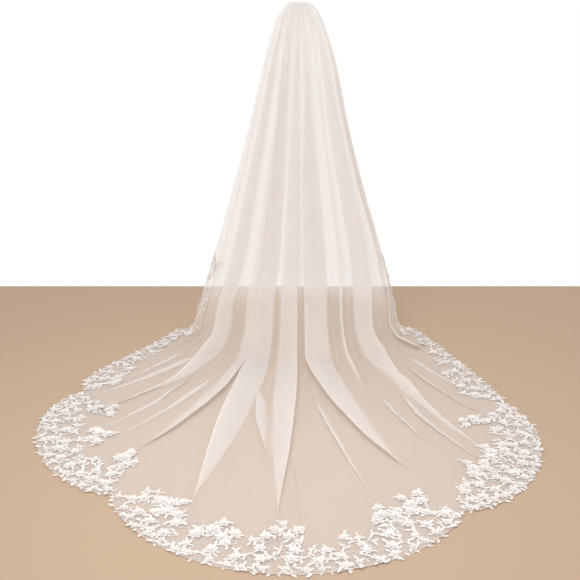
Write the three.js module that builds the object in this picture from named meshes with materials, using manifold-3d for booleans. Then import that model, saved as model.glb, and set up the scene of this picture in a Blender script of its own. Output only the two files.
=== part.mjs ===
// Cathedral bridal veil: one tulle panel gathered on a hair comb, hanging from the crown of the head
// and spreading on the floor as a scalloped train, with lace sprays sewn along its edge.
// Millimetres, +Z up. The origin is the middle of the comb's spine. The wearer would face +Y,
// so the veil falls behind the head and its train runs out along -Y, COMB_HEIGHT below the origin.
import * as THREE from "three";
import { mergeVertices } from "three/addons/utils/BufferGeometryUtils.js";
import Module from "manifold-3d";

const wasm = await Module();
wasm.setup();

// Driving dimensions
const COMB_HEIGHT = 1680; // the comb's spine above the floor
const CLOTH = 1.2; // thickness of the tulle wall
const SEAM_GAP = 0.3; // between pieces that are sewn together
const BEND = { side: 80, back: 250 }; // radius where the falling cloth sweeps onto the floor
const BEND_TOP = CLOTH / 2 + BEND.side - COMB_HEIGHT; // height where that sweep starts at the sides
const GATHER_COLUMNS = 4; // columns of the panel taken by one small gather between the main folds
const LACE = 1.2; // thickness of the lace
const COMB = { width: 80, spine: 6, thick: 2.4, teeth: 15, tooth: 2.2, reach: 46, lean: 14 };
const COMB_CURVE = { halfWidth: 44, depth: 6 }; // plan curve of the comb, round the head
const BAND = { height: 11, thick: 1.1, top: 5 }; // satin tape that binds the gathered edge

// The hanging part in sections, from the comb down. z is the height, left and right the half widths,
// back how far the middle lies behind the comb, edge where the front edges lie (y), turn how far the
// right edge is turned in towards the wearer (degrees), lap how far the folds overlap, lift how deep
// the folds are and gather how deep the small gathers are.
const SECTIONS = [
  { z: -4, left: 44, right: 44, back: 5.3, edge: 0.7, turn: 0, lap: 0, lift: 1.5, gather: 0 },
  { z: 13, left: 44, right: 44, back: 8, edge: 0, turn: 0, lap: 0, lift: 1.9, gather: 0 },
  { z: 19, left: 48, right: 47, back: 24, edge: -3, turn: 0, lap: 0.05, lift: 3, gather: 0.3 },
  { z: 4, left: 68, right: 64, back: 48, edge: -6, turn: 3, lap: 0.12, lift: 4.5, gather: 0.6 },
  { z: -40, left: 101, right: 95, back: 70, edge: -4, turn: 8, lap: 0.2, lift: 7, gather: 0.8 },
  { z: -105, left: 130, right: 123, back: 84, edge: 2, turn: 14, lap: 0.34, lift: 10, gather: 0.8 },
  { z: -270, left: 178, right: 169, back: 104, edge: 8, turn: 20, lap: 0.62, lift: 17, gather: 0.8 },
  { z: -580, left: 256, right: 234, back: 128, edge: 8, turn: 24, lap: 0.86, lift: 23, gather: 0.6 },
  { z: -880, left: 340, right: 314, back: 150, edge: 4, turn: 24, lap: 1, lift: 26, gather: 0.4 },
  { z: -1200, left: 434, right: 416, back: 172, edge: -2, turn: 18, lap: 1, lift: 29, gather: 0 },
  { z: -1420, left: 504, right: 480, back: 192, edge: -12, turn: 10, lap: 1, lift: 30, gather: 0 },
  { z: BEND_TOP, left: 562, right: 522, back: 212, edge: -24, turn: 2, lap: 1, lift: 29, gather: 0 },
];
const FALL_END = SECTIONS.length - 1; // station of the last hanging section
const BEND_END = FALL_END + 1; // station where the cloth first lies on the floor
const HEM = BEND_END + 1; // station of the hem

// The main folds, from the left edge to the right. at is the place across the panel (-1 to 1), span
// half the width of cloth the fold takes up, lap how far it overlaps (share of span, its sign says which
// side lies on top), lift its share of the section's depth, reach how far along the train it runs and
// drift how far its place moves across the panel on the way.
const FOLDS = [
  { at: -0.8, span: 0.075, lap: -0.6, lift: 0.6, reach: 0.5, drift: 0 },
  { at: -0.585, span: 0.1, lap: 1.04, lift: 1, reach: 0.7, drift: 0 },
  { at: -0.385, span: 0.058, lap: -1.05, lift: 0.7, reach: 0.8, drift: -0.02 },
  { at: -0.24, span: 0.085, lap: 1.22, lift: 0.95, reach: 0.84, drift: -0.02 },
  { at: -0.075, span: 0.08, lap: -1.2, lift: 0.9, reach: 0.84, drift: 0.06 },
  { at: 0.128, span: 0.115, lap: 1.16, lift: 1, reach: 0.84, drift: 0.09 },
  { at: 0.335, span: 0.078, lap: -0.5, lift: 0.6, reach: 0.84, drift: 0.03 },
  { at: 0.53, span: 0.11, lap: -1.15, lift: 1, reach: 0.66, drift: -0.04 },
  { at: 0.79, span: 0.08, lap: 0.8, lift: 0.7, reach: 0.4, drift: 0 },
];

// The scalloped hem on the floor, from the left edge round the tail to the right edge. x and y are the
// notch where a scallop starts, bulge how far it swells past the straight line to the next notch, lean
// where its swell is greatest (1 is the middle), share its share of the panel, sprays its lace sprays and
// branch whether these reach inwards.
const SCALLOPS = [
  { x: -694, y: -72, bulge: 104, lean: 1.9, share: 0.131, sprays: 2, branch: false },
  { x: -1004, y: -737, bulge: 250, lean: 0.9, share: 0.19, sprays: 3, branch: true },
  { x: -720, y: -1570, bulge: 412, lean: 1, share: 0.346, sprays: 4, branch: true },
  { x: 606, y: -1680, bulge: 228, lean: 1, share: 0.19, sprays: 3, branch: true },
  { x: 920, y: -850, bulge: 48, lean: 0.5, share: 0.143, sprays: 2, branch: false },
];
const LAST_NOTCH = { x: 640, y: -44 };
const SWELL = 0.66; // under 1 makes the scallops rounder than a parabola

// Places of the panel's columns across it: close together where a fold turns back, with one at each notch.
const FOLD_COLUMNS = [-1, -0.7, -0.48, -0.35, -0.22, 0, 0.22, 0.35, 0.48, 0.7, 1];
const EDGE_COLUMNS = [-1, -0.965, -0.93, -0.895, 0.9, 0.935, 0.968, 1];
const LEAST_COLUMN = 0.012;
const NEAR_NOTCH = 0.017; // no other column this near a notch
function columnPlaces() {
  const notches = [];
  SCALLOPS.slice(0, -1).reduce((sum, { share }) => {
    notches.push(2 * (sum + share) - 1);
    return sum + share;
  }, 0);
  const fixed = [...notches, -1, 1];
  const free = [...EDGE_COLUMNS, ...FOLDS.flatMap(({ at, span }) => FOLD_COLUMNS.map((x) => at + span * x))];
  const places = [...fixed];
  for (const place of free) {
    const room = (other) => (fixed.includes(other) ? NEAR_NOTCH : LEAST_COLUMN);
    if (places.every((other) => Math.abs(other - place) > room(other))) places.push(place);
  }
  return places.sort((a, b) => a - b);
}
const PLACES = columnPlaces();
const COLUMNS = PLACES.length - 1;

// Stations of the panel's rows: the hanging sections, the bend and the floor.
const BEND_ROWS = [0.34, 0.56, 0.78, 1];
const FLOOR_ROWS = [0.15, 0.32, 0.5, 0.68, 0.85, 1];
const ROWS = [
  ...SECTIONS.map((_, index) => index),
  ...BEND_ROWS.map((share) => FALL_END + share),
  ...FLOOR_ROWS.map((share) => BEND_END + share),
];

const up = new THREE.Vector3(0, 0, 1);

// A column of SECTIONS at any station, on a smooth curve through its rows.
function section(name, station) {
  const at = Math.min(station, FALL_END);
  const index = Math.min(Math.floor(at), FALL_END - 1);
  const value = (row) => SECTIONS[Math.max(0, Math.min(FALL_END, row))][name];
  const [a, b, c, d] = [-1, 0, 1, 2].map((step) => value(index + step));
  const t = at - index;
  return b + 0.5 * t * (c - a + t * (2 * a - 5 * b + 4 * c - d + t * (3 * (b - c) + d - a)));
}

// One S-shaped fold: 0 at -1 and 1, greatest at FOLD_PEAK, odd about 0.
const FOLD_PEAK = 0.407;
const LYING = 0.8; // depth of a fold on the floor, as a share of its depth while it hangs
const foldWave = (x) => (Math.abs(x) < 1 ? 1.25 * Math.sin(Math.PI * x) * (1 - x * x) : 0);
const foldEnvelope = (x) => (Math.abs(x) <= FOLD_PEAK ? 1 : Math.abs(foldWave(x)));

// How the folds move a point of the panel: shift across it, out from it while it hangs and up on the floor.
function foldsAt(column, station) {
  const u = PLACES[column];
  const floor = Math.max(0, station - BEND_END);
  const onFloor = THREE.MathUtils.smoothstep(station, FALL_END, BEND_END);
  let shift = 0;
  let out = section("gather", station) * Math.sin((2 * Math.PI * column) / GATHER_COLUMNS);
  for (const fold of FOLDS) {
    const x = (u - fold.at) / fold.span;
    const run = Math.min(1, floor / fold.reach);
    shift += fold.drift * floor * (1 - floor) * 4 * Math.exp(-x * x / 2);
    if (Math.abs(x) >= 1) continue;
    const side = Math.sign(fold.lap);
    const lap = Math.abs(fold.lap) * fold.span * section("lap", station) * (1 - run) ** 2;
    const lift = fold.lift * section("lift", station) * (1 - run ** 3);
    shift -= lap * foldWave(x);
    const hanging = foldWave(x) * side;
    const lying = LYING * (foldWave(x) * side + foldEnvelope(x));
    out += lift * THREE.MathUtils.lerp(hanging, lying, onFloor);
  }
  return { shift, out };
}

// The smooth form under the folds at a place across it and a station, with the direction it faces and the
// radius of its sweep onto the floor, which is wider at the back than at the sides.
function hangingForm(c, station) {
  const half = section(c < 0 ? "left" : "right", station);
  const edge = section("edge", station);
  const depth = section("back", station) + edge;
  const quarter = 90 + (c > 0 ? section("turn", station) : 0);
  const angle = THREE.MathUtils.degToRad(quarter * (0.75 * c + 0.25 * c ** 3));
  const bend = THREE.MathUtils.lerp(BEND.side, BEND.back, Math.cos(angle) ** 2);
  const raised = (bend - BEND.side) * THREE.MathUtils.smoothstep(station, FALL_END - 2, FALL_END);
  const point = new THREE.Vector3(
    half * Math.sin(angle),
    edge - depth * Math.cos(angle),
    section("z", station) + raised,
  );
  const facing = new THREE.Vector3(Math.sin(angle) / half, -Math.cos(angle) / Math.max(depth, 1), 0);
  return { point, facing: facing.normalize(), bend };
}

// The hem's straight line and its swell at a place across the panel.
function hemAt(c) {
  let share = (c + 1) / 2;
  let index = 0;
  while (index < SCALLOPS.length - 1 && share > SCALLOPS[index].share) {
    share -= SCALLOPS[index].share;
    index += 1;
  }
  return hemOf(index, share / SCALLOPS[index].share);
}

function hemOf(index, share) {
  const scallop = SCALLOPS[index];
  const from = new THREE.Vector3(scallop.x, scallop.y, 0);
  const next = SCALLOPS[index + 1] ?? LAST_NOTCH;
  const to = new THREE.Vector3(next.x, next.y, 0);
  const t = THREE.MathUtils.clamp(share, 0, 1) ** scallop.lean;
  const outward = new THREE.Vector3().subVectors(to, from).cross(up).normalize();
  const line = from.clone().lerp(to, share);
  return { line, swell: outward.multiplyScalar(scallop.bulge * (4 * t * (1 - t)) ** SWELL) };
}

// A point of the panel's middle surface at one of its columns, station running from the comb to the hem.
function panelPoint(column, station) {
  const { shift, out } = foldsAt(column, station);
  const c = THREE.MathUtils.clamp(PLACES[column] + shift, -1, 1);
  const { point, facing, bend } = hangingForm(c, station);
  if (station <= FALL_END) return point.addScaledVector(facing, out);
  const angle = (Math.min(station - FALL_END, 1) * Math.PI) / 2;
  point.addScaledVector(facing, bend * (1 - Math.cos(angle)));
  point.z -= bend * Math.sin(angle);
  if (station > BEND_END) {
    const along = station - BEND_END;
    const { line, swell } = hemAt(c);
    line.z = point.z;
    const onward = point.clone().addScaledVector(facing, 0.35 * point.distanceTo(line));
    point.multiplyScalar((1 - along) ** 2);
    point.addScaledVector(onward, 2 * along * (1 - along)).addScaledVector(line, along * along);
    point.addScaledVector(swell, along ** 3);
  }
  const outwards = facing.clone().multiplyScalar(Math.cos(angle)).addScaledVector(up, Math.sin(angle));
  return point.addScaledVector(outwards, out);
}

// The panel as a grid of points with the directions its outer face looks in. Each face counts the same
// for a point's direction, so that the wall keeps its two sides apart where a fold turns back.
function panelGrid() {
  const width = COLUMNS + 1;
  const points = ROWS.flatMap((station) => PLACES.map((_, column) => panelPoint(column, station)));
  const normals = points.map(() => new THREE.Vector3());
  const faces = gridFaces(ROWS.length, width, 0, false);
  const triangle = new THREE.Triangle();
  const facing = new THREE.Vector3();
  for (let first = 0; first < faces.length; first += 3) {
    const corners = faces.slice(first, first + 3);
    triangle.setFromPointsAndIndices(points, ...corners).getNormal(facing);
    corners.forEach((corner) => normals[corner].add(facing));
  }
  return (row, column) => {
    const index = row * width + column;
    return { point: points[index], normal: normals[index].clone().normalize() };
  };
}

function gridFaces(rows, columns, first, reversed) {
  const faces = [];
  for (let row = 0; row < rows - 1; row += 1) {
    for (let column = 0; column < columns - 1; column += 1) {
      const a = first + row * columns + column;
      const [b, c, d] = [a + 1, a + columns, a + columns + 1];
      faces.push(...(reversed ? [a, b, c, b, d, c] : [a, c, b, b, c, d]));
    }
  }
  return faces;
}

// A closed wall between two offsets from a stretch of the grid.
function wall(grid, rowRange, columnRange, inner, outer) {
  const rows = rowRange[1] - rowRange[0] + 1;
  const columns = columnRange[1] - columnRange[0] + 1;
  const count = rows * columns;
  const positions = [];
  for (const offset of [outer, inner]) {
    for (let row = 0; row < rows; row += 1) {
      for (let column = 0; column < columns; column += 1) {
        const { point, normal } = grid(rowRange[0] + row, columnRange[0] + column);
        positions.push(...point.clone().addScaledVector(normal, offset).toArray());
      }
    }
  }
  const faces = [...gridFaces(rows, columns, 0, false), ...gridFaces(rows, columns, count, true)];
  const rim = [];
  for (let column = 0; column < columns - 1; column += 1) rim.push(column);
  for (let row = 0; row < rows - 1; row += 1) rim.push(row * columns + columns - 1);
  for (let column = columns - 1; column > 0; column -= 1) rim.push((rows - 1) * columns + column);
  for (let row = rows - 1; row > 0; row -= 1) rim.push(row * columns);
  rim.forEach((a, index) => {
    const b = rim[(index + 1) % rim.length];
    faces.push(a, b, a + count, b, b + count, a + count);
  });
  const geometry = new THREE.BufferGeometry();
  geometry.setAttribute("position", new THREE.Float32BufferAttribute(positions, 3));
  geometry.setIndex(faces);
  return geometry;
}

// Closed solids in and out of the boolean library.
function toSolid(geometry) {
  const bare = geometry.clone();
  bare.deleteAttribute("normal");
  bare.deleteAttribute("uv");
  const merged = mergeVertices(bare, 1e-3);
  return new wasm.Manifold(
    new wasm.Mesh({
      numProp: 3,
      vertProperties: merged.attributes.position.array,
      triVerts: new Uint32Array(merged.index.array),
    }),
  );
}

function toGeometry(solid) {
  const mesh = solid.getMesh();
  const geometry = new THREE.BufferGeometry();
  geometry.setAttribute("position", new THREE.Float32BufferAttribute(mesh.vertProperties, 3));
  geometry.setIndex(new THREE.BufferAttribute(mesh.triVerts, 1));
  return geometry;
}

// Lace motifs, as outlines in hem coordinates: x along the hem and y inwards from it.
const PETALS = 5;
function flowerOutline({ x, y, size, turn }) {
  const points = [];
  for (let petal = 0; petal < PETALS; petal += 1) {
    const angle = turn + (petal * 2 * Math.PI) / PETALS;
    for (const [share, radius] of [[0, 0.62], [0.28, 1], [0.72, 0.97]]) {
      const at = angle + (share * 2 * Math.PI) / PETALS;
      points.push(new THREE.Vector2(x + size * radius * Math.cos(at), y + size * radius * Math.sin(at)));
    }
  }
  return points;
}

function leafOutline({ x, y, size, turn }) {
  const half = [[-1, 0], [-0.35, 0.3], [0.35, 0.3], [1, 0], [0.35, -0.3], [-0.35, -0.3]];
  const centre = new THREE.Vector2();
  return half.map(([along, across]) =>
    new THREE.Vector2(size * along, size * across).rotateAround(centre, turn).add({ x, y }),
  );
}

function stemOutline(points, width) {
  const sides = [[], []];
  points.forEach(([x, y], index) => {
    const before = points[Math.max(0, index - 1)];
    const after = points[Math.min(points.length - 1, index + 1)];
    const across = new THREE.Vector2(before[1] - after[1], after[0] - before[0]).setLength(width / 2);
    sides[0].push(new THREE.Vector2(x, y).sub(across));
    sides[1].unshift(new THREE.Vector2(x, y).add(across));
  });
  return [...sides[0], ...sides[1]];
}

// One lace spray: a run of flowers and leaves along the edge and a branch that reaches inwards.
const SPRAY_LENGTH = 370;
const STEM_WIDTH = 7;
const NARROW = 0.72; // width of a spray without a branch, as a share of one with
const RUN = {
  flowers: [
    { x: -138, y: 36, size: 37, turn: 0.2 },
    { x: -46, y: 40, size: 42, turn: 0.9 },
    { x: 50, y: 36, size: 37, turn: 0.5 },
    { x: 138, y: 40, size: 36, turn: 1.3 },
  ],
  leaves: [
    { x: -93, y: 16, size: 38, turn: 0.3 },
    { x: 4, y: 60, size: 40, turn: -0.7 },
    { x: 95, y: 62, size: 38, turn: 0.9 },
    { x: 176, y: 18, size: 30, turn: -0.4 },
  ],
  stem: [[-150, 30], [-93, 24], [-46, 34], [4, 40], [50, 34], [95, 46], [138, 34], [180, 18]],
};
const BRANCH = {
  flowers: [
    { x: -112, y: 114, size: 34, turn: 0.7 },
    { x: -4, y: 124, size: 37, turn: 0.1 },
    { x: 100, y: 122, size: 33, turn: 1 },
  ],
  leaves: [
    { x: -56, y: 140, size: 36, turn: 2.8 },
    { x: 42, y: 158, size: 38, turn: 0.8 },
    { x: 52, y: 112, size: 30, turn: 0.2 },
  ],
  stem: [[-42, 44], [-14, 84], [22, 146]],
};

function motifOutlines({ flowers, leaves, stem }) {
  return [...flowers.map(flowerOutline), ...leaves.map(leafOutline), stemOutline(stem, STEM_WIDTH)];
}

// Steps along one scallop's hem with the distance run so far.
const HEM_STEPS = 60;
function hemRuler(index) {
  const marks = [];
  let length = 0;
  for (let step = 0; step <= HEM_STEPS; step += 1) {
    const { line, swell } = hemOf(index, step / HEM_STEPS);
    const point = line.add(swell);
    if (step) length += point.distanceTo(marks[step - 1].point);
    marks.push({ point, length });
  }
  return marks;
}

function hemPoint(ruler, x) {
  const last = ruler.length - 1;
  const found = ruler.findIndex((mark) => mark.length >= x);
  const step = THREE.MathUtils.clamp(found < 0 ? last : found, 1, last);
  const [a, b] = [ruler[step - 1], ruler[step]];
  return a.point.clone().lerp(b.point, (x - a.length) / (b.length - a.length));
}

// The place on the floor of a point x along a scallop's hem and y inwards from it. Inwards turns slowly,
// by the hem's direction over EASE on both sides, so that motifs keep their shape near a notch.
const EASE = 160;
function onHem(ruler, x, y) {
  const along = hemPoint(ruler, x + EASE).sub(hemPoint(ruler, x - EASE)).normalize();
  const inwards = new THREE.Vector3().crossVectors(up, along);
  return hemPoint(ruler, x).addScaledVector(inwards, y);
}

// Overlapping outlines joined into one plate, with the small gaps they enclose left open.
const LEAST_STEP = 1; // outline points nearer than this to a straight line are left out
const LEAST_GAP = 12; // area of the smallest gap kept
function plate(outlines, thickness) {
  const rings = outlines.map((outline) => {
    const ring = THREE.ShapeUtils.isClockWise(outline) ? [...outline].reverse() : outline;
    return new wasm.CrossSection([ring.map(({ x, y }) => [x, y])], "NonZero");
  });
  const polygons = rings.reduce((whole, ring) => whole.add(ring)).simplify(LEAST_STEP).toPolygons();
  const paths = polygons.map((polygon) => polygon.map(([x, y]) => new THREE.Vector2(x, y)));
  const area = (path) => THREE.ShapeUtils.area(path);
  const outer = paths.reduce((largest, path) => (area(path) > area(largest) ? path : largest));
  const shape = new THREE.Shape(outer);
  shape.holes = paths.filter((path) => area(path) < -LEAST_GAP).map((path) => new THREE.Path(path));
  return new THREE.ExtrudeGeometry(shape, { depth: thickness, bevelEnabled: false });
}

// A spray lying on the train, bent to the scallop's edge.
function trainSpray(index, number) {
  const ruler = hemRuler(index);
  const pitch = ruler[HEM_STEPS].length / SCALLOPS[index].sprays;
  const stretch = pitch / SPRAY_LENGTH;
  const start = pitch * (number + 0.5);
  const { branch } = SCALLOPS[index];
  const outlines = branch ? [...motifOutlines(RUN), ...motifOutlines(BRANCH)] : motifOutlines(RUN);
  const placed = outlines.map((outline) =>
    outline.map(({ x, y }) => {
      const point = onHem(ruler, start + x * stretch, branch ? y : NARROW * y);
      return new THREE.Vector2(point.x, point.y);
    }),
  );
  return plate(placed, LACE).translate(0, 0, CLOTH + SEAM_GAP - COMB_HEIGHT);
}

// The lace along a hanging front edge: motif outlines cut from a wall that follows the tulle's own points.
const EDGE_LACE = { firstRow: 9, lastRow: 12, columns: 4, motifs: 4, top: -1225, bottom: -1600, reach: 300 };
function edgeLace(grid, side) {
  const columnRange = side < 0 ? [0, EDGE_LACE.columns] : [COLUMNS - EDGE_LACE.columns, COLUMNS];
  const inner = CLOTH / 2 + SEAM_GAP;
  const strip = toSolid(
    wall(grid, [EDGE_LACE.firstRow, EDGE_LACE.lastRow], columnRange, inner, inner + LACE),
  );
  const edge = (z) => {
    const rows = [EDGE_LACE.firstRow, EDGE_LACE.firstRow + 1, EDGE_LACE.firstRow + 2, EDGE_LACE.lastRow];
    const points = rows.map((row) => grid(row, side < 0 ? 0 : COLUMNS).point);
    const below = Math.max(1, points.findIndex((point) => point.z <= z));
    const [a, b] = [points[below - 1], points[below]];
    return THREE.MathUtils.lerp(a.y, b.y, (a.z - z) / (a.z - b.z));
  };
  const outlines = [];
  const middle = [];
  const pitch = (EDGE_LACE.top - EDGE_LACE.bottom) / EDGE_LACE.motifs;
  for (let motif = 0; motif <= EDGE_LACE.motifs; motif += 1) {
    const z = EDGE_LACE.top - pitch * motif;
    const y = edge(z) - 26;
    outlines.push(leafOutline({ x: y - 6, y: z, size: 28, turn: motif % 2 ? 0.9 : 2.3 }));
    middle.push([y, z]);
    if (motif === EDGE_LACE.motifs) break;
    outlines.push(flowerOutline({ x: edge(z - pitch / 2) - 26, y: z - pitch / 2, size: 25, turn: motif }));
  }
  outlines.push(stemOutline(middle, STEM_WIDTH));
  const prism = plate(outlines, EDGE_LACE.reach);
  const sideways = new THREE.Matrix4().makeBasis(new THREE.Vector3(0, 1, 0), up, new THREE.Vector3(1, 0, 0));
  prism.applyMatrix4(sideways);
  prism.translate(side < 0 ? -700 : 350, 0, 0);
  return toGeometry(strip.intersect(toSolid(prism)));
}

// The comb and the tape follow one plan curve round the head.
function curveRound(geometry) {
  const { position } = geometry.attributes;
  for (let index = 0; index < position.count; index += 1) {
    const share = position.getX(index) / COMB_CURVE.halfWidth;
    const lean = Math.max(0, -position.getZ(index) - COMB.spine / 2) / COMB.reach;
    const curve = COMB_CURVE.depth * (1 - Math.sqrt(1 - share * share));
    position.setY(index, position.getY(index) + curve + COMB.lean * lean * lean);
  }
  return geometry;
}

function combGeometry() {
  const pitch = (COMB.width - COMB.tooth) / (COMB.teeth - 1);
  const top = COMB.spine / 2;
  const outline = [];
  for (let tooth = 0; tooth < COMB.teeth; tooth += 1) {
    const x = pitch * tooth - COMB.width / 2;
    outline.push([x, -top], [x + 0.3 * COMB.tooth, -top - COMB.reach]);
    outline.push([x + 0.7 * COMB.tooth, -top - COMB.reach], [x + COMB.tooth, -top]);
  }
  for (let step = COMB.teeth - 1; step >= 0; step -= 1) {
    outline.push([pitch * step + COMB.tooth - COMB.width / 2, top]);
  }
  outline.push([-COMB.width / 2, top]);
  const shape = new THREE.Shape(outline.map(([x, z]) => new THREE.Vector2(x, z)));
  const geometry = new THREE.ExtrudeGeometry(shape, { depth: COMB.thick, bevelEnabled: false });
  geometry.rotateX(Math.PI / 2).translate(0, COMB.thick / 2, 0);
  return curveRound(geometry);
}

function bandGeometry() {
  const geometry = new THREE.BoxGeometry(COMB.width, BAND.thick, BAND.height, 16, 1, 1);
  const back = COMB.thick / 2 + SEAM_GAP + BAND.thick / 2;
  geometry.translate(0, -back, BAND.top - BAND.height / 2);
  const { position } = geometry.attributes;
  for (let index = 0; index < position.count; index += 1) {
    const share = position.getX(index) / COMB_CURVE.halfWidth;
    position.setY(index, position.getY(index) + COMB_CURVE.depth * (1 - Math.sqrt(1 - share * share)));
  }
  return geometry;
}

// The scene graph
const tulleLook = new THREE.MeshStandardMaterial({ color: 0xf1e7e2, roughness: 0.75 });
const laceLook = new THREE.MeshStandardMaterial({ color: 0xf8f4ef, roughness: 0.7 });
const satinLook = new THREE.MeshStandardMaterial({ color: 0xf4ece6, roughness: 0.4 });
const combLook = new THREE.MeshStandardMaterial({ color: 0xd9d6d0, roughness: 0.25, metalness: 1 });

const veil = new THREE.Group();
function addPiece(name, geometry, material) {
  const mesh = new THREE.Mesh(geometry, material);
  mesh.name = name;
  veil.add(mesh);
}

const grid = panelGrid();
addPiece("tulle_panel", wall(grid, [0, ROWS.length - 1], [0, COLUMNS], -CLOTH / 2, CLOTH / 2), tulleLook);
addPiece("header_band", bandGeometry(), satinLook);
addPiece("comb", combGeometry(), combLook);
SCALLOPS.forEach((scallop, index) => {
  for (let number = 0; number < scallop.sprays; number += 1) {
    addPiece(`lace_spray_${index + 1}_${number + 1}`, trainSpray(index, number), laceLook);
  }
});
addPiece("lace_edge_left", edgeLace(grid, -1), laceLook);
addPiece("lace_edge_right", edgeLace(grid, 1), laceLook);

export default veil;
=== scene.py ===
import math
import random

import bpy
import numpy as np
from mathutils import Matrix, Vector
from mathutils.bvhtree import BVHTree


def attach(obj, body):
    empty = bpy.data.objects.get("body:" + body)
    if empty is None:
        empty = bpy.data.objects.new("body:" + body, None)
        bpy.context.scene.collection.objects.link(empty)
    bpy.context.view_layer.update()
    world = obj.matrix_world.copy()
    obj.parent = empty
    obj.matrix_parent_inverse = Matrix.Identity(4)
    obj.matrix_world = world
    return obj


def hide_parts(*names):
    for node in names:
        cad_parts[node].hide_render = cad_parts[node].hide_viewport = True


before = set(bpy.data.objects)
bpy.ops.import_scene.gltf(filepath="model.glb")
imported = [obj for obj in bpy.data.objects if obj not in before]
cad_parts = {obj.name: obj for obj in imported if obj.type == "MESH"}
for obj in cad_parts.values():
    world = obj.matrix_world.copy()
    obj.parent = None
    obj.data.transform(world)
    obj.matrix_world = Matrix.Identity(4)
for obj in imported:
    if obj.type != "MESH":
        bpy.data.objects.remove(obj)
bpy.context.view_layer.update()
mm = 0.001

# Sizes in millimetres. The origin is the comb, the floor lies combHeight below it.
combHeight = 1680.0
cloth = 1.2
bendRadius = {"side": 80.0, "back": 250.0}

# How far lace stands off the net and what share of a fold's depth is left on the floor.
laceRise = 0.4
lying = 0.8

# Where a fold's wave is highest and the factor that makes it 1 there; how full the scallops swell; how far
# the front edges crowd together and how straight the cloth runs on from the bend before it turns to the hem.
foldPeak = 0.407
foldScale = 1.25
swellPower = 0.66
edgeCrowd = 0.25
runOn = 0.35

# The hanging part in sections from the comb down, as in the solid it stands for.
# ripple is the depth of the soft ripples between the folds, fine that of the gathers at the comb and
# layers how many thicknesses of net the gathers crowd into one.
sectionNames = ("z", "left", "right", "back", "edge", "turn", "lap", "lift", "ripple", "fine", "layers")
sections = (
    (-4, 44, 44, 5.3, 0.7, 0, 0, 1.5, 0.2, 0.5, 9),
    (13, 44, 44, 8, 0, 0, 0, 1.9, 0.3, 0.8, 9),
    (19, 48, 47, 24, -3, 0, 0.05, 3, 0.6, 1.4, 8),
    (4, 68, 64, 48, -6, 3, 0.12, 4.5, 1.0, 1.6, 6.4),
    (-40, 101, 95, 70, -4, 8, 0.2, 7, 1.6, 1.7, 5),
    (-105, 130, 123, 84, 2, 14, 0.34, 10, 2.2, 1.4, 4.8),
    (-270, 178, 169, 104, 8, 20, 0.62, 17, 2.8, 0.8, 4.4),
    (-580, 256, 234, 128, 8, 24, 0.86, 23, 3.0, 0.3, 4.4),
    (-880, 340, 314, 150, 4, 24, 1, 26, 2.8, 0.1, 4.3),
    (-1200, 434, 416, 172, -2, 18, 1, 29, 2.4, 0, 3.6),
    (-1420, 504, 480, 192, -12, 10, 1, 30, 2.0, 0, 3.0),
    (cloth / 2 + bendRadius["side"] - combHeight, 562, 522, 212, -24, 2, 1, 29, 1.8, 0, 2.4),
)
# Net counted on the floor: partly the crinkled lie, partly painted light that makes the lying train lighter,
# as if lit from above.
floorCrinkleAndLight = 1.25

# Where the gathers have opened to one thickness: the station at the back, how much higher it is at the sides
# and how softly they thin out.
opening = {"station": 10.42, "sides": 0.42, "soft": 0.8}

fallEnd = len(sections) - 1
bendEnd = fallEnd + 1
hemStation = bendEnd + 1

# The main folds from left to right: place, half width, lap, depth, how far along the train it runs, how far
# its place wanders on the way and how late its lap fades.
folds = (
    (-0.8, 0.09, -0.22, 0.4, 0.5, 0, 2),
    (-0.6, 0.068, 1.15, 1, 0.62, 0.05, 1),
    (-0.385, 0.055, -1.1, 0.7, 0.92, -0.01, 2),
    (-0.275, 0.08, 1.22, 0.95, 0.96, 0.07, 2.4),
    (-0.085, 0.08, -1.2, 0.9, 1, 0.08, 2),
    (0.13, 0.115, 1.2, 1, 0.9, 0.23, 1.6),
    (0.335, 0.078, -0.4, 0.6, 0.4, 0, 2),
    (0.515, 0.078, -1.2, 1, 0.58, -0.05, 1),
    (0.79, 0.08, 0.85, 0.7, 0.4, 0, 2),
)
wanderPower = 1.3

# Narrow creases on the train: place where it starts and where it ends, half width, lap, height in mm, and
# how far along the train it starts and ends.
creases = (
    (-0.74, -0.72, 0.02, 0.9, 4, 0.15, 0.8),
    (-0.66, -0.69, 0.024, 1.0, 5, 0.1, 0.95),
    (-0.6, -0.6, 0.026, -1.0, 6, 0.2, 0.97),
    (-0.53, -0.52, 0.022, 0.9, 4, 0.3, 0.94),
    (-0.46, -0.47, 0.022, 0.9, 4, 0.25, 0.9),
    (-0.206, -0.033, 0.034, 1.15, 8, 0.24, 0.95),
    (0.02, 0.05, 0.012, 0.9, 3, 0.66, 0.99),
    (0.06, 0.225, 0.024, 1.0, 6, 0.3, 0.95),
    (0.37, 0.38, 0.018, 0.9, 4, 0.35, 0.9),
    (0.44, 0.43, 0.022, 1.0, 5, 0.4, 0.96),
    (0.51, 0.46, 0.026, -1.0, 6, 0.3, 0.95),
    (0.62, 0.58, 0.022, 0.9, 5, 0.25, 0.92),
    (0.68, 0.68, 0.02, -0.8, 4, 0.2, 0.85),
)

# The scalloped hem: notch x and y, bulge, lean, share of the panel and number of lace sprays.
scallops = (
    (-694, -72, 78, 2.7, 0.131, 2),
    (-1004, -737, 250, 0.9, 0.19, 3),
    (-720, -1570, 412, 1, 0.346, 4),
    (606, -1680, 228, 1, 0.19, 3),
    (920, -850, 32, 0.38, 0.143, 2),
)
notches = [row[:2] for row in scallops] + [(640, -44)]


def smoothstep(x, low, high):
    t = np.clip((x - low) / (high - low), 0, 1)
    return t * t * (3 - 2 * t)


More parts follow.
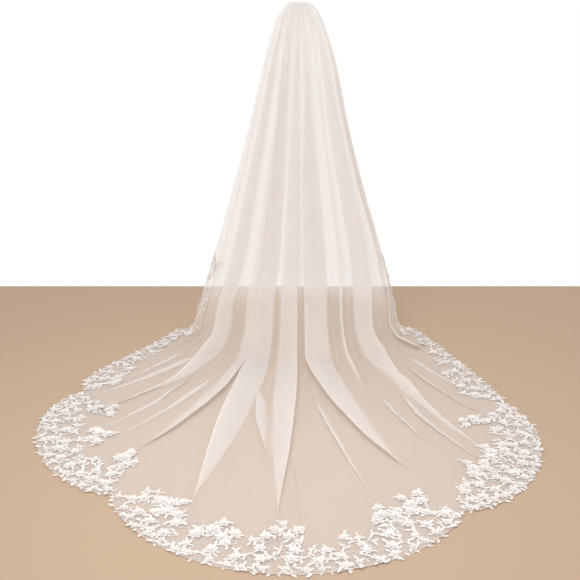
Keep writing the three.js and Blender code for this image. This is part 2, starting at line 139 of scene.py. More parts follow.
def sectionAt(name, station):
    column = sectionNames.index(name)
    at = min(station, fallEnd)
    index = min(int(at), fallEnd - 1)
    picks = [max(0, min(fallEnd, index + step)) for step in (-1, 0, 1, 2)]
    a, b, c, d = (sections[row][column] for row in picks)
    t = at - index
    return b + 0.5 * t * (c - a + t * (2 * a - 5 * b + 4 * c - d + t * (3 * (b - c) + d - a)))


def foldWave(x):
    return np.where(np.abs(x) < 1, foldScale * np.sin(np.pi * x) * (1 - x * x), 0)


def foldEnvelope(x):
    return np.where(np.abs(x) <= foldPeak, 1, np.abs(foldWave(x)))


def foldsAt(u, station):
    floor = max(0, station - bendEnd)
    onFloor = float(smoothstep(station, fallEnd, bendEnd))
    shift = np.zeros_like(u)
    out = np.zeros_like(u)
    for at, span, lap, lift, reach, travel, late in folds:
        x = (u - at - travel * floor**wanderPower) / span
        run = min(1, floor / reach)
        side = math.copysign(1, lap)
        shift -= abs(lap) * span * sectionAt("lap", station) * (1 - run**late) * foldWave(x)
        depth = lift * sectionAt("lift", station) * (1 - run**3)
        hanging = foldWave(x) * side
        flat = lying * (foldWave(x) * side + foldEnvelope(x))
        out += depth * (hanging * (1 - onFloor) + flat * onFloor)
    for at, to, span, lap, height, start, end in creases:
        if not start < floor < end:
            continue
        run = (floor - start) / (end - start)
        x = (u - at - (to - at) * run) / span
        strength = min(1, 5 * run) * (1 - run**2)
        shift -= abs(lap) * span * strength * foldWave(x)
        out += height * strength * (foldWave(x) * math.copysign(1, lap) + foldEnvelope(x))
    return shift, out


def hemOf(index, share):
    x0, y0 = notches[index]
    x1, y1 = notches[index + 1]
    length = math.hypot(x1 - x0, y1 - y0)
    outward = ((y1 - y0) / length, -(x1 - x0) / length)
    t = np.clip(share, 0, 1) ** scallops[index][3]
    swell = scallops[index][2] * np.maximum(4 * t * (1 - t), 0) ** swellPower
    line = np.stack([x0 + (x1 - x0) * share, y0 + (y1 - y0) * share], axis=-1)
    return line, np.stack([outward[0] * swell, outward[1] * swell], axis=-1)


def hemAt(c):
    share = (c + 1) / 2
    line = np.zeros((len(c), 2))
    swell = np.zeros((len(c), 2))
    start = 0
    for index, row in enumerate(scallops):
        last = index == len(scallops) - 1
        inside = (share >= start) & ((share < start + row[4]) | last)
        line[inside], swell[inside] = hemOf(index, (share[inside] - start) / row[4])
        start += row[4]
    return line, swell


# Small uneven ripples between the main folds and gathers at the comb: number across the panel, phase,
# strength and drift. calm says where they start and end to die out towards the front edges, and by how much.
ripples = ((13, 0.4, 1.0, 0.5), (19, 2.1, 0.8, -0.7), (31, 4.0, 0.55, 0.4))
gathers = ((43, 0.3, 1.0, 0.2), (61, 2.6, 0.7, -0.25), (27, 5.1, 0.6, 0.15))
calm = {"start": 0.4, "end": 0.75, "share": 0.85}


def waves(table, u, station):
    total = np.zeros_like(u)
    for count, phase, strength, drift in table:
        total += strength * np.cos(math.pi * count * u + phase + drift * station)
    return total


def rippleAt(u, station):
    floor = max(0, station - bendEnd)
    soft = sectionAt("ripple", station) * (1 - floor) ** 1.5 * waves(ripples, u, station)
    fine = sectionAt("fine", station) * waves(gathers, u, station)
    return (soft + fine) * (1 - calm["share"] * smoothstep(np.abs(u), calm["start"], calm["end"]))


# Thicknesses of net at a place: crowded in the gathers, one where they have opened, and more than one on the
# floor. On the floor this is partly the crinkled lie and partly painted light: the denser net makes the lying
# train lighter over the floor, as if lit from above.
def layersAt(u, station):
    middle = opening["station"] - opening["sides"] * np.abs(u)
    opened = smoothstep(station, middle - opening["soft"], middle + opening["soft"])
    onFloor = float(smoothstep(station, bendEnd - 0.2, bendEnd + 0.45))
    hanging = sectionAt("layers", station) * (1 - opened) + opened
    base = hanging * (1 - onFloor) + floorCrinkleAndLight * onFloor
    streaks = 1 + 0.12 * waves(gathers, u, station) * (1 - onFloor)
    return np.maximum(base * streaks, 1)


# Soft lie of the cloth on the floor, by place, so that the lace on it follows: length of each wave along x
# and y, and its phase.
floorWaves = ((61, 93, 0), (47, -71, 1.3), (113, 39, 0.6))
floorWaveHeight = 1.1


def floorLie(x, y):
    rolls = sum(1 + np.sin(x / alongX + y / alongY + phase) for alongX, alongY, phase in floorWaves)
    return floorWaveHeight * rolls


def panelRow(u, station):
    shift, out = foldsAt(u, station)
    c = np.clip(u + shift, -1, 1)
    half = np.where(c < 0, sectionAt("left", station), sectionAt("right", station))
    edge = sectionAt("edge", station)
    depth = sectionAt("back", station) + edge
    quarter = np.where(c > 0, 90 + sectionAt("turn", station), 90)
    angle = np.radians(quarter * ((1 - edgeCrowd) * c + edgeCrowd * c**3))
    radius = bendRadius["side"] + (bendRadius["back"] - bendRadius["side"]) * np.cos(angle) ** 2
    raised = (radius - bendRadius["side"]) * smoothstep(station, fallEnd - 2, fallEnd)
    points = np.stack(
        [half * np.sin(angle), edge - depth * np.cos(angle), sectionAt("z", station) + raised], axis=-1
    )
    facing = np.stack([np.sin(angle) / half, -np.cos(angle) / max(depth, 1), np.zeros_like(u)], axis=-1)
    facing /= np.linalg.norm(facing, axis=1)[:, None]
    bend = min(max(station - fallEnd, 0), 1) * math.pi / 2
    points += facing * (radius * (1 - math.cos(bend)))[:, None]
    points[:, 2] -= radius * math.sin(bend)
    if station > bendEnd:
        along = station - bendEnd
        line, swell = hemAt(c)
        line = np.column_stack([line, points[:, 2]])
        swell = np.column_stack([swell, np.zeros_like(u)])
        onward = points + facing * runOn * np.linalg.norm(line - points, axis=1)[:, None]
        points = points * (1 - along) ** 2 + onward * 2 * along * (1 - along) + line * along**2
        points += swell * along**3
    outwards = facing * math.cos(bend)
    outwards[:, 2] += math.sin(bend)
    out = out + rippleAt(u, station) * (1 - 0.5 * math.sin(bend))
    points += outwards * out[:, None]
    lie = float(smoothstep(station, fallEnd + 0.5, bendEnd + 0.2))
    points[:, 2] += lie * floorLie(points[:, 0], points[:, 1])
    points[:, 2] = np.maximum(points[:, 2], cloth / 2 - combHeight)
    return points


# Materials. Colours are given as sRGB hex codes.
def linear(code):
    parts = [int(code[i : i + 2], 16) / 255 for i in (0, 2, 4)]
    return [p / 12.92 if p <= 0.04045 else ((p + 0.055) / 1.055) ** 2.4 for p in parts] + [1]


def addNode(tree, kind, settings=None, links=None):
    node = tree.nodes.new(kind)
    for name, value in (settings or {}).items():
        if isinstance(name, int) or name in node.inputs:
            node.inputs[name].default_value = value
        else:
            setattr(node, name, value)
    for name, source in (links or {}).items():
        tree.links.new(source, node.inputs[name])
    return node


def newMaterial(name):
    material = bpy.data.materials.new(name)
    material.use_nodes = True
    material.node_tree.nodes.clear()
    return material, material.node_tree


# The lace's open cells: size in mm and how far thread still covers them.
openwork = {"cell": 7.0, "cover": 0.5}

# The net: share of light that one thickness stops, mesh in mm, and the thickness that threads add and holes
# take away.
net = {"opacity": 0.4, "mesh": 2.5, "thread": 0.09, "hole": -0.07}


# Soft silk-look tulle: a sheer knitted net. Most light passes through one layer, so folds that lie over
# each other read as denser bands. The real mesh of 1.5 mm is drawn at 2.5 mm, to show in close views.
def tulleMaterial():
    material, tree = newMaterial("ivoryTulle")
    skin = addNode(tree, "ShaderNodeBsdfDiffuse", {"Color": linear("f8f5f3"), "Roughness": 0.8})
    glow = addNode(tree, "ShaderNodeBsdfTranslucent", {"Color": linear("f8f4f1")})
    body = addNode(tree, "ShaderNodeMixShader", {0: 0.4}, {1: skin.outputs[0], 2: glow.outputs[0]})
    place = addNode(tree, "ShaderNodeUVMap", {"uv_map": "cut"})
    cells = addNode(
        tree,
        "ShaderNodeTexVoronoi",
        {"feature": "DISTANCE_TO_EDGE", "Scale": 1 / (net["mesh"] * mm), "Randomness": 0.6},
        {"Vector": place.outputs["UV"]},
    )
    threads = addNode(
        tree,
        "ShaderNodeMapRange",
        {"From Min": 0.05, "From Max": 0.3, "To Min": net["thread"], "To Max": net["hole"]},
        {"Value": cells.outputs["Distance"]},
    )
    crowd = addNode(tree, "ShaderNodeAttribute", {"attribute_name": "layers"})
    power = addNode(
        tree, "ShaderNodeMath", {"operation": "ADD"}, {0: threads.outputs["Result"], 1: crowd.outputs["Fac"]}
    )
    through = addNode(
        tree, "ShaderNodeMath", {"operation": "POWER", 0: 1 - net["opacity"]}, {1: power.outputs[0]}
    )
    clear = addNode(tree, "ShaderNodeBsdfTransparent", {"Color": linear("ffffff")})
    mix = addNode(
        tree, "ShaderNodeMixShader", {}, {0: through.outputs[0], 1: body.outputs[0], 2: clear.outputs[0]}
    )
    addNode(tree, "ShaderNodeOutputMaterial", {}, {"Surface": mix.outputs[0]})
    return material


# Corded cotton lace: matt warm white, with the ribbing of close stitches and small open cells between the
# cords that let the net show through.
def laceMaterial():
    material, tree = newMaterial("whiteCordedLace")
    place = addNode(tree, "ShaderNodeTexCoord")
    cells = addNode(
        tree,
        "ShaderNodeTexVoronoi",
        {"feature": "DISTANCE_TO_EDGE", "Scale": 1 / (openwork["cell"] * mm)},
        {"Vector": place.outputs["Object"]},
    )
    cords = addNode(
        tree,
        "ShaderNodeMapRange",
        {"From Min": 0.1, "From Max": 0.3, "To Min": 1, "To Max": openwork["cover"]},
        {"Value": cells.outputs["Distance"]},
    )
    ribs = addNode(
        tree, "ShaderNodeBump", {"Strength": 0.35, "Distance": 0.6 * mm}, {"Height": cords.outputs[0]}
    )
    skin = addNode(
        tree,
        "ShaderNodeBsdfPrincipled",
        {"Base Color": linear("e6e0dc"), "Roughness": 0.75, "Sheen Weight": 0.2},
        {"Alpha": cords.outputs[0], "Normal": ribs.outputs[0]},
    )
    addNode(tree, "ShaderNodeOutputMaterial", {}, {"Surface": skin.outputs[0]})
    return material


# Woven satin ribbon: smooth, with a soft broad shine.
def satinMaterial():
    material, tree = newMaterial("ivorySatinRibbon")
    skin = addNode(
        tree,
        "ShaderNodeBsdfPrincipled",
        {"Base Color": linear("f6ece2"), "Roughness": 0.38, "Sheen Weight": 0.3},
    )
    addNode(tree, "ShaderNodeOutputMaterial", {}, {"Surface": skin.outputs[0]})
    return material


# Silver-plated wire: bright drawn metal.
def wireMaterial():
    material, tree = newMaterial("silverPlatedWire")
    skin = addNode(
        tree,
        "ShaderNodeBsdfPrincipled",
        {"Base Color": linear("dcd8d2"), "Metallic": 1, "Roughness": 0.24},
    )
    addNode(tree, "ShaderNodeOutputMaterial", {}, {"Surface": skin.outputs[0]})
    return material


# Plain matt floor.
def floorMaterial():
    material, tree = newMaterial("paleFloor")
    skin = addNode(tree, "ShaderNodeBsdfPrincipled", {"Base Color": linear("b59c83"), "Roughness": 0.9})
    addNode(tree, "ShaderNodeOutputMaterial", {}, {"Surface": skin.outputs[0]})
    return material


def newObject(name, points, faces, material=None, smooth=True, edges=()):
    mesh = bpy.data.meshes.new(name)
    mesh.from_pydata([tuple(float(v) * mm for v in p) for p in points], list(edges), faces)
    if material:
        mesh.materials.append(material)
    mesh.polygons.foreach_set("use_smooth", [smooth] * len(mesh.polygons))
    mesh.update()
    obj = bpy.data.objects.new(name, mesh)
    bpy.context.scene.collection.objects.link(obj)
    return obj


# The tulle panel
panel = {"columns": 520, "fall": 88, "bend": 20, "floor": 80, "flat": (3.2, 3.6), "area": 6.9}
tulle = tulleMaterial()
lace = laceMaterial()


def panelStations():
    fall = np.linspace(0, fallEnd, panel["fall"], endpoint=False)
    bend = np.linspace(fallEnd, bendEnd, panel["bend"], endpoint=False)
    floor = np.linspace(bendEnd, hemStation, panel["floor"] + 1)
    return np.concatenate([fall, bend, floor])


def gridFaces(rows, columns):
    faces = []
    for row in range(rows - 1):
        for column in range(columns - 1):
            a = row * columns + column
            faces.append((a, a + columns, a + columns + 1, a + 1))
    return faces


# Each cell is split along its shorter diagonal, so that slanting creases stay clean.
def sheetFaces(sheet):
    points = sheet.reshape(-1, 3)
    index = np.arange(len(points)).reshape(sheet.shape[:2])
    a, b, c, d = index[:-1, :-1], index[1:, :-1], index[1:, 1:], index[:-1, 1:]
    falling = np.linalg.norm(points[a] - points[c], axis=-1)
    rising = np.linalg.norm(points[b] - points[d], axis=-1)
    split = (falling <= rising)[..., None]
    lower = np.where(split, np.stack([a, b, c], axis=-1), np.stack([a, b, d], axis=-1))
    upper = np.where(split, np.stack([a, c, d], axis=-1), np.stack([b, c, d], axis=-1))
    return np.concatenate([lower.reshape(-1, 3), upper.reshape(-1, 3)]).tolist()


across = np.linspace(-1, 1, panel["columns"] + 1)
stations = panelStations()
grid = np.array([panelRow(across, station) for station in stations])
panelFaces = sheetFaces(grid)
veil = newObject("tullePanel", grid.reshape(-1, 3), panelFaces, tulle)
layers = np.concatenate([layersAt(across, station) for station in stations])
veil.data.attributes.new("layers", "FLOAT", "POINT").data.foreach_set("value", layers.astype(np.float32))
rise = np.linalg.norm(np.diff(grid, axis=0), axis=2).mean(axis=1)
down = np.concatenate([[0], np.cumsum(rise)]) * mm
cut = np.stack(np.meshgrid(across * panel["flat"][0] / 2, down), axis=-1).reshape(-1, 2)
corners = np.zeros(len(veil.data.loops), dtype=np.int32)
veil.data.loops.foreach_get("vertex_index", corners)
veil.data.uv_layers.new(name="cut").data.foreach_set("uv", cut[corners].ravel().astype(np.float32))
surface = BVHTree.FromPolygons([tuple(p) for p in grid.reshape(-1, 3)], panelFaces)
print("tulle panel", len(veil.data.polygons))


# Lace motifs in units of their own size, each of a few dozen faces. A flower has two rings of petals: how far
# the ring is turned, where its petals start and end, their half width, their least and greatest height and
# the places along a petal.
petalRings = (
    (0.0, 0.18, 1.0, 0.36, 0.03, 0.13, (0, 0.45, 0.82, 1)),
    (0.52, 0.1, 0.55, 0.22, 0.07, 0.19, (0, 0.6, 1)),
)
petals = 6
centre = {"points": 5, "radius": 0.14, "low": 0.19, "high": 0.27}


def flowerMotif():
    points, faces = [], []
    for turn, inner, outer, wide, low, high, steps in petalRings:
        for petal in range(petals):
            angle = turn + petal * 2 * math.pi / petals
            first = len(points)
            for s in steps:
                half = wide * math.sin(math.pi * (0.1 + 0.74 * s)) ** 0.8
                for t in (-1, 0, 1):
                    along = inner + (outer - inner) * s * (1 - 0.12 * abs(t))
                    side = half * t
                    height = low + (high - low) * s * (0.55 + 0.45 * abs(t))
                    x = along * math.cos(angle) - side * math.sin(angle)
                    y = along * math.sin(angle) + side * math.cos(angle)
                    points.append((x, y, height))
            faces += [tuple(first + i for i in face) for face in gridFaces(len(steps), 3)]
    first = len(points)
    count, radius = centre["points"], centre["radius"]
    for k in range(count):
        angle = k * 2 * math.pi / count
        points.append((radius * math.cos(angle), radius * math.sin(angle), centre["low"]))
    points.append((0, 0, centre["high"]))
    faces += [(first + k, first + (k + 1) % count, first + count) for k in range(count)]
    return points, faces


# A leaf with a raised vein: its ribs are place across and height.
leafForm = {"steps": 7, "half": 0.42, "round": 0.6, "taper": 0.2, "tip": 0.01, "curl": 0.12}
leafRibs = ((-1, 0.12), (-0.12, 0.1472), (0.12, 0.1472), (1, 0.12))


def leafMotif():
    points = []
    for s in np.linspace(-1, 1, leafForm["steps"]):
        full = 1 - s * s
        half = leafForm["half"] * full ** leafForm["round"] * (1 - leafForm["taper"] * s) + leafForm["tip"]
        points += [(s, half * t + leafForm["curl"] * full, height) for t, height in leafRibs]
    return points, gridFaces(leafForm["steps"], len(leafRibs))


# A scroll that winds inwards: its ribs are share of the radius and height.
scrollForm = {"steps": 13, "turn": 4.6, "closing": 0.72}
scrollRibs = ((1.12, 0.05), (1, 0.14), (0.86, 0.05))


def scrollMotif():
    points = []
    for s in np.linspace(0, 1, scrollForm["steps"]):
        angle = scrollForm["turn"] * s
        radius = 1 - scrollForm["closing"] * s
        for side, height in scrollRibs:
            points.append((radius * side * math.cos(angle), radius * side * math.sin(angle), height))
    return points, gridFaces(scrollForm["steps"], len(scrollRibs))


beadForm = {"sides": 6, "waist": 0.35}


def beadMotif():
    sides = beadForm["sides"]
    angles = [k * 2 * math.pi / sides for k in range(sides)]
    points = [(0, 0, 1)] + [(math.cos(angle), math.sin(angle), beadForm["waist"]) for angle in angles]
    return points, [(0, 1 + k, 1 + (k + 1) % sides) for k in range(sides)]


motifKinds = ("flower", "leaf", "scroll", "bead")
motifShapes = (flowerMotif, leafMotif, scrollMotif, beadMotif)


# Motifs on a mesh's loose points and a cord along each of its edges.
def laceTree():
    tree = bpy.data.node_groups.new("laceOnNet", "GeometryNodeTree")
    sockets = tree.interface
    sockets.new_socket("Pattern", in_out="INPUT", socket_type="NodeSocketGeometry")
    for kind in motifKinds:
        sockets.new_socket(kind, in_out="INPUT", socket_type="NodeSocketObject")
    sockets.new_socket("Cord radius", in_out="INPUT", socket_type="NodeSocketFloat")
    sockets.new_socket("Material", in_out="INPUT", socket_type="NodeSocketMaterial")
    sockets.new_socket("Lace", in_out="OUTPUT", socket_type="NodeSocketGeometry")
    source = addNode(tree, "NodeGroupInput")
    aim = addNode(tree, "GeometryNodeInputNamedAttribute", {"data_type": "FLOAT_VECTOR", "Name": "aim"})
    facing = addNode(tree, "GeometryNodeInputNamedAttribute", {"data_type": "FLOAT_VECTOR", "Name": "facing"})
    size = addNode(tree, "GeometryNodeInputNamedAttribute", {"data_type": "FLOAT", "Name": "size"})
    kindOf = addNode(tree, "GeometryNodeInputNamedAttribute", {"data_type": "INT", "Name": "kind"})
    turned = addNode(
        tree,
        "FunctionNodeAxesToRotation",
        {"primary_axis": "Z", "secondary_axis": "X"},
        {"Primary Axis": facing.outputs[0], "Secondary Axis": aim.outputs[0]},
    )
    joined = addNode(tree, "GeometryNodeJoinGeometry")
    for number, kind in enumerate(motifKinds):
        motif = addNode(tree, "GeometryNodeObjectInfo", {}, {"Object": source.outputs[kind]})
        chosen = addNode(
            tree,
            "FunctionNodeCompare",
            {"data_type": "INT", "operation": "EQUAL", 3: number},
            {2: kindOf.outputs[0]},
        )
        placed = addNode(
            tree,
            "GeometryNodeInstanceOnPoints",
            {},
            {
                "Points": source.outputs["Pattern"],
                "Selection": chosen.outputs[0],
                "Instance": motif.outputs["Geometry"],
                "Rotation": turned.outputs[0],
                "Scale": size.outputs[0],
            },
        )
        tree.links.new(placed.outputs[0], joined.inputs[0])
    paths = addNode(tree, "GeometryNodeMeshToCurve", {}, {"Mesh": source.outputs["Pattern"]})
    ring = addNode(
        tree, "GeometryNodeCurvePrimitiveCircle", {"Resolution": 5}, {"Radius": source.outputs["Cord radius"]}
    )
    cords = addNode(
        tree,
        "GeometryNodeCurveToMesh",
        {"Fill Caps": True},
        {"Curve": paths.outputs[0], "Profile Curve": ring.outputs[0]},
    )
    tree.links.new(cords.outputs[0], joined.inputs[0])
    whole = addNode(tree, "GeometryNodeRealizeInstances", {}, {"Geometry": joined.outputs[0]})
    dressed = addNode(
        tree,
        "GeometryNodeSetMaterial",
        {},
        {"Geometry": whole.outputs[0], "Material": source.outputs["Material"]},
    )
    addNode(tree, "NodeGroupOutput", {}, {"Lace": dressed.outputs[0]})
    return tree


laceNodes = laceTree()
motifs = {}
for kind, shape in zip(motifKinds, motifShapes):
    points, faces = shape()
    motifs[kind] = newObject(kind, [tuple(v / mm for v in p) for p in points], faces)


# items: (kind, point, aim, facing, size); cords: lists of points. All in millimetres.
def sewnPiece(name, items, cords, radius, material):
    points = [item[1] for item in items]
    edges = []
    for cord in cords:
        first = len(points)
        points += cord
        edges += [(first + k, first + k + 1) for k in range(len(cord) - 1)]
    obj = newObject(name, points, [], edges=edges)
    spare = len(points) - len(items)
    columns = {
        "kind": ("INT", "value", [motifKinds.index(item[0]) for item in items] + [-1] * spare),
        "size": ("FLOAT", "value", [item[4] * mm for item in items] + [0] * spare),
        "aim": ("FLOAT_VECTOR", "vector", [v for item in items for v in item[2]] + [0, 0, 0] * spare),
        "facing": ("FLOAT_VECTOR", "vector", [v for item in items for v in item[3]] + [0, 0, 0] * spare),
    }
    for title, (form, field, values) in columns.items():
        obj.data.attributes.new(title, form, "POINT").data.foreach_set(field, values)
    modifier = obj.modifiers.new("laceOnNet", "NODES")
    modifier.node_group = laceNodes
    values = {**motifs, "Cord radius": radius * mm, "Material": material}
    for socket in laceNodes.interface.items_tree:
        if socket.name in values:
            modifier[socket.identifier] = values[socket.name]
    graph = bpy.context.evaluated_depsgraph_get()
    made = bpy.data.meshes.new_from_object(obj.evaluated_get(graph))
    obj.modifiers.clear()
    obj.data = made
    spots = np.zeros(len(made.vertices) * 3)
    made.vertices.foreach_get("co", spots)
    spots[2::3] = np.maximum(spots[2::3], -combHeight * mm)
    made.vertices.foreach_set("co", spots)
    made.polygons.foreach_set("use_smooth", [True] * len(made.polygons))
    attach(obj, "root")
    return obj


# Lace sprays on the train, laid out in hem coordinates: x along the edge, y inwards from it. rows are the
# rows of flowers (number, distance inwards, size), small the florets strewn between them (number, least
# and greatest size, least and greatest distance inwards) and cluster a loose bunch further in (x, y, size).
# The pairs are the least and greatest of what is drawn by chance.
spray = {
    "ease": 160,
    "steps": 240,
    "cord": 0.9,
    "edgeCord": 1.5,
    "bead": 2.4,
    "rows": ((6, 26, 18), (4, 72, 24), (3, 124, 23), (2, 168, 18)),
    "shift": 12,
    "sway": 9,
    "growth": (0.8, 1.15),
    "turn": (0, 1.2),
    "small": (20, 6, 11, 8, 185),
    "cluster": ((-78, 0, 28), (-26, 26, 31), (30, -6, 29), (82, 18, 25), (6, 72, 24)),
    "clusterTilt": (-0.4, 0.4),
    "clusterGrowth": (0.85, 1.1),
    "clusterRoot": 120,
    "wide": 185,
    "narrow": 62,
}
stem = {"points": 36, "swing": 17, "phase": (0, 6), "branchPoints": 10}
scroll = {"ahead": (25, 45), "aside": (-15, 15), "size": (8, 14), "turn": (0, 6)}

# Leaves in threes round each flower, and leaves along the hem that point outwards.
leaf = {"round": 3, "apart": 2.09, "first": (0, 6.28), "size": 12, "growth": (0.7, 1.25), "sway": (-0.5, 0.5)}
leafReach = {"flower": 0.9, "leaf": 0.8, "least": 2}
fringe = {"count": 9, "shift": (-16, 16), "inwards": (-7, 6), "size": (8, 17), "sway": (-1.1, 1.1)}

# Bunches that reach further in: scallop, place along it (0 to 1) and distance inwards.
bunches = (
    (1, 0.02, 204),
    (1, 0.5, 232),
    (1, 0.96, 222),
    (2, 0.13, 165),
    (2, 0.33, 150),
    (2, 0.51, 205),
    (2, 0.85, 202),
    (2, 0.98, 165),
    (3, 0.3, 190),
    (3, 0.52, 165),
    (3, 0.97, 212),
)


def hemRuler(index):
    line, swell = hemOf(index, np.linspace(0, 1, spray["steps"] + 1))
    points = line + swell
    lengths = np.concatenate([[0], np.cumsum(np.linalg.norm(np.diff(points, axis=0), axis=1))])
    return points, lengths


def hemPoint(ruler, x):
    points, lengths = ruler
    inside = np.array([np.interp(x, lengths, points[:, 0]), np.interp(x, lengths, points[:, 1])])
    if x < 0:
        return inside + (points[1] - points[0]) * x / lengths[1]
    if x > lengths[-1]:
        return inside + (points[-1] - points[-2]) * (x - lengths[-1]) / (lengths[-1] - lengths[-2])
    return inside


def onTrain(ruler):
    def place(x, y):
        along = hemPoint(ruler, x + spray["ease"]) - hemPoint(ruler, x - spray["ease"])
        along /= np.linalg.norm(along)
        spot = hemPoint(ruler, x) + y * np.array([-along[1], along[0]])
        hit, normal, _, _ = surface.ray_cast(Vector((*spot, 0)), Vector((0, 0, -1)))
        if hit is None:
            return np.array([*spot, cloth + laceRise - combHeight]), np.array([0, 0, 1.0])
        normal = np.array(normal) * math.copysign(1, normal[2])
        return np.array(hit) + normal * laceRise, normal

    return place


def leavesRound(flowers, dice):
    leaves = []
    for x, y, size, _ in flowers:
        first = dice.uniform(*leaf["first"])
        for k in range(leaf["round"]):
            turn = first + k * leaf["apart"] + dice.uniform(*leaf["sway"])
            length = leaf["size"] * dice.uniform(*leaf["growth"])
            reach = size * leafReach["flower"] + length * leafReach["leaf"]
            spot = (x + reach * math.cos(turn), y + reach * math.sin(turn))
            if spot[1] > leafReach["least"]:
                leaves.append((*spot, length, turn + dice.uniform(*leaf["sway"])))
    return leaves


def fringeLeaves(length, dice):
    leaves = []
    for k in range(fringe["count"]):
        x = length * ((k + 0.5) / fringe["count"] - 0.5) + dice.uniform(*fringe["shift"])
        y = dice.uniform(*fringe["inwards"])
        size = dice.uniform(*fringe["size"])
        leaves.append((x, y, size, -math.pi / 2 + dice.uniform(*fringe["sway"])))
    return leaves


# A branch from the spray to a flower of a bunch.
def branchTo(root, x, y):
    start = spray["clusterRoot"]
    steps = np.linspace(0, 1, stem["branchPoints"])
    return [(root + (x - root) * t**2, start + (y - start) * t) for t in steps]


def laceLayout(length, places, dice):
    flowers, scrolls, stems = [], [], []
    run = np.linspace(-length / 2, length / 2, stem["points"])
    for number, inwards, size in spray["rows"]:
        for k in range(number):
            x = length * ((k + 0.5) / number - 0.5) + dice.uniform(-spray["shift"], spray["shift"])
            y = inwards + dice.uniform(-spray["sway"], spray["sway"])
            flowers.append((x, y, size * dice.uniform(*spray["growth"]), dice.uniform(*spray["turn"])))
            x += dice.uniform(*scroll["ahead"])
            y += dice.uniform(*scroll["aside"])
            scrolls.append((x, y, dice.uniform(*scroll["size"]), dice.uniform(*scroll["turn"])))
        phase = dice.uniform(*stem["phase"])
        waving = stem["swing"] * np.sin(2 * math.pi * run / length * number + phase)
        stems.append(list(zip(run, inwards + waving)))
    count, least, most, near, far = spray["small"]
    for k in range(count):
        x = length * ((k + 0.5) / count - 0.5)
        y = dice.uniform(near, far)
        flowers.append((x, y, dice.uniform(least, most), dice.uniform(*spray["turn"])))
    leaves = fringeLeaves(length, dice)
    stems.append([(x, spray["edgeCord"]) for x in run])
    for root, inwards in places:
        tilt = dice.uniform(*spray["clusterTilt"])
        for dx, dy, size in spray["cluster"]:
            x = root + dx * math.cos(tilt) - dy * math.sin(tilt)
            y = inwards + dx * math.sin(tilt) + dy * math.cos(tilt)
            flowers.append((x, y, size * dice.uniform(*spray["clusterGrowth"]), dice.uniform(*spray["turn"])))
            stems.append(branchTo(root, x, y))
    leaves += leavesRound(flowers, dice)
    beads = [(x, y, spray["bead"], 0) for x, y, _, _ in scrolls]
    groups = (("flower", flowers), ("leaf", leaves), ("scroll", scrolls), ("bead", beads))
    return [(kind, *row) for kind, rows in groups for row in rows], stems


# width(x) is how far inwards the lace may reach there. A motif is aimed at a point aimStep ahead of it.
aimStep = 6


def laceOn(name, node, place, start, layout, width):
    items, stems = layout
    sewn = []
    for kind, x, y, size, turn in items:
        if y > width(start + x):
            continue
        point, facing = place(start + x, y)
        ahead, _ = place(start + x + aimStep * math.cos(turn), y + aimStep * math.sin(turn))
        sewn.append((kind, point, ahead - point, facing, size))
    cords = []
    for line in stems:
        kept = [place(start + x, y)[0] for x, y in line if y < width(start + x)]
        if len(kept) > 2:
            cords.append(kept)
    obj = sewnPiece(name, sewn, cords, spray["cord"], lace)
    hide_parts(node)
    return obj


def laceWidth(index, length):
    def width(x):
        share = min(max(x / length, 0), 1)
        if index == 0:
            return spray["narrow"] + (spray["wide"] - spray["narrow"]) * share
        if index == len(scallops) - 1:
            return spray["wide"] + (spray["narrow"] - spray["wide"]) * share
        return math.inf

    return width


dice = random.Random(11)
for index, row in enumerate(scallops):
    ruler = hemRuler(index)
    pitch = ruler[1][-1] / row[5]
    for number in range(row[5]):
        places = [
            (pitch * (along * row[5] - number - 0.5), inwards)
            for scallop, along, inwards in bunches
            if scallop == index and int(along * row[5]) == number
        ]
        layout = laceLayout(pitch, places, dice)
        title = f"{index + 1}_{number + 1}"
        laceOn(
                f"laceSpray{title}",
                f"lace_spray_{title}",
                onTrain(ruler),
                pitch * (number + 0.5),
                layout,
                laceWidth(index, ruler[1][-1]),
            )

# Lace up the front edges, laid out by distance down the edge and inwards from it: first and last station,
# the grid it is laid on, how far in the lace reaches, how much shorter it is than the edge and the step by
# which slopes are felt.
edging = {
    "first": 9.05,
    "last": 12.9,
    "rows": 58,
    "columns": 14,
    "width": 130,
    "lace": 96,
    "short": 30,
    "step": 4,
}
tiny = 1e-9


def onEdge(side):
    spread = np.linspace(0, edging["width"], edging["columns"])
    near = across if side < 0 else across[::-1]
    lines = []
    for station in np.linspace(edging["first"], edging["last"], edging["rows"]):
        points = panelRow(near, station)
        inwards = np.concatenate([[0], np.cumsum(np.linalg.norm(np.diff(points, axis=0), axis=1))])
        lines.append([[np.interp(d, inwards, points[:, axis]) for axis in range(3)] for d in spread])
    lines = np.array(lines)
    drop = np.concatenate([[0], np.cumsum(np.linalg.norm(np.diff(lines[:, 0], axis=0), axis=1))])

    def spot(x, y):
        row = np.interp(x, drop, np.arange(len(drop)))
        above = min(int(row), len(drop) - 2)
        level = lines[above] + (lines[above + 1] - lines[above]) * (row - above)
        return np.array([np.interp(y, spread, level[:, axis]) for axis in range(3)])

    def place(x, y):
        step, onCloth = edging["step"], max(y, 0)
        point = spot(x, onCloth)
        downwards = spot(x + step, onCloth) - spot(x - step, onCloth)
        inwards = spot(x, onCloth + step) - point
        facing = np.cross(inwards, downwards) * side
        facing /= np.linalg.norm(facing) + tiny
        point = point + min(y, 0) * inwards / (np.linalg.norm(inwards) + tiny)
        return point + facing * (cloth / 2 + laceRise), facing

    return place, drop[-1]


for side, title in ((-1, "Left"), (1, "Right")):
    place, length = onEdge(side)
    layout = laceLayout(length - edging["short"], (), dice)
    laceOn(
            f"laceEdge{title}",
            f"lace_edge_{title.lower()}",
            place,
            length / 2,
            layout,
            lambda x: edging["lace"],
        )

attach(veil, "root")
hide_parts("tulle_panel")

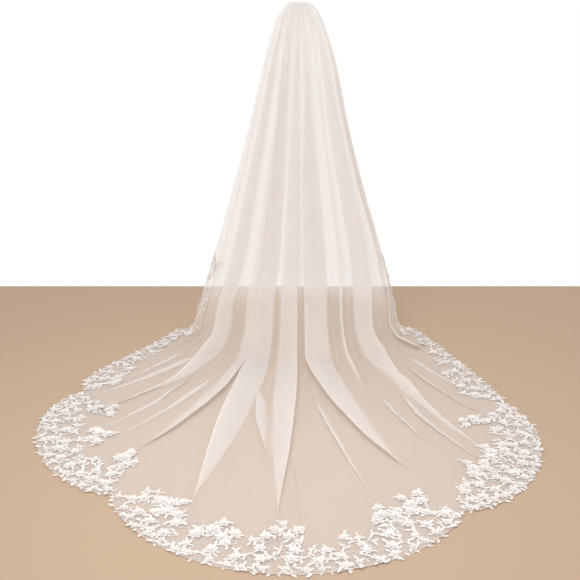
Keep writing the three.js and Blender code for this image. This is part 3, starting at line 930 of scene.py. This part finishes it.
# The comb: wire teeth on a slightly curved spine of three wires.
comb = {"width": 80, "teeth": 15, "reach": 46, "lean": 14, "spine": 6, "curve": (44, 6), "wire": 1.1}
spine = {"wires": (-1.9, 0, 1.9), "points": 25}
toothPoints = 12


def combPoint(x, z):
    half, depth = comb["curve"]
    lean = max(0, -z - comb["spine"] / 2) / comb["reach"]
    return np.array([x, depth * (1 - math.sqrt(1 - (x / half) ** 2)) + comb["lean"] * lean * lean, z])


wires = []
halfComb = comb["width"] / 2 - comb["wire"]
for z in spine["wires"]:
    wires.append([combPoint(x, z) for x in np.linspace(-halfComb, halfComb, spine["points"])])
toothHeights = np.linspace(spine["wires"][-1], -comb["spine"] / 2 - comb["reach"], toothPoints)
for x in np.linspace(-halfComb, halfComb, comb["teeth"]):
    wires.append([combPoint(x, z) for z in toothHeights])
combPiece = sewnPiece("wireComb", [], wires, comb["wire"], wireMaterial())
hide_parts("comb")

# The satin tape keeps its solid; stitches along it hold the gathers to the comb.
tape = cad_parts["header_band"]
tape.data.materials.clear()
tape.data.materials.append(satinMaterial())
stitch = {"count": 26, "length": 2.0, "inset": 2, "back": -2.75, "rows": (-4.2, 3.2), "thread": 0.22}
sewnHalf = halfComb - stitch["inset"]
threads = []
for z in stitch["rows"]:
    for x in np.linspace(-sewnHalf, sewnHalf, stitch["count"]):
        ends = [combPoint(x + dx, 0) for dx in (-stitch["length"] / 2, stitch["length"] / 2)]
        threads.append([end + np.array([0, stitch["back"], z]) for end in ends])
stitches = sewnPiece("tapeStitches", [], threads, stitch["thread"], lace)
for motif in motifs.values():
    bpy.data.objects.remove(motif)
print("comb and stitches", len(combPiece.data.polygons), len(stitches.data.polygons))

# Floor, light and camera
ground = {"side": 6000, "behind": -6000, "front": 630}
groundPlan = (
    (-ground["side"], ground["behind"]),
    (ground["side"], ground["behind"]),
    (ground["side"], ground["front"]),
    (-ground["side"], ground["front"]),
)
groundPoints = [(x, y, -combHeight) for x, y in groundPlan]
newObject("floor", groundPoints, [(0, 1, 2, 3)], floorMaterial(), False)

world = bpy.data.worlds.new("studio")
bpy.context.scene.world = world
world.use_nodes = True
world.node_tree.nodes["Background"].inputs[0].default_value = (1, 1, 1, 1)
world.node_tree.nodes["Background"].inputs[1].default_value = 1.0

# One broad soft lamp over the train, in metres and watts.
key = {"place": (-0.5, -1.8, 1.3), "target": (0, -1.6, -1.68), "size": 1.8, "power": 14, "spread": 95}
lamp = bpy.data.objects.new("keyLight", bpy.data.lights.new("keyLight", "AREA"))
lamp.data.size = key["size"]
lamp.data.energy = key["power"]
lamp.data.spread = math.radians(key["spread"])
lamp.location = key["place"]
lamp.rotation_euler = (Vector(key["target"]) - Vector(key["place"])).to_track_quat("-Z", "Y").to_euler()
bpy.context.scene.collection.objects.link(lamp)

# The camera in metres and degrees; shift is a share of the picture's width.
view = {"height": 2.0, "distance": 4.5, "pitch": 21.54, "lens": 56, "sensor": 36, "shift": -10 / 580}
camera = bpy.data.objects.new("camera", bpy.data.cameras.new("camera"))
camera.data.lens = view["lens"]
camera.data.sensor_width = view["sensor"]
camera.data.shift_x = view["shift"]
camera.location = (0, -view["distance"], view["height"] - combHeight * mm)
camera.rotation_euler = (math.radians(90 - view["pitch"]), 0, 0)
bpy.context.scene.collection.objects.link(camera)
bpy.context.scene.camera = camera
bpy.context.scene.view_settings.view_transform = "Standard"
bpy.context.scene.cycles.transparent_max_bounces = 64
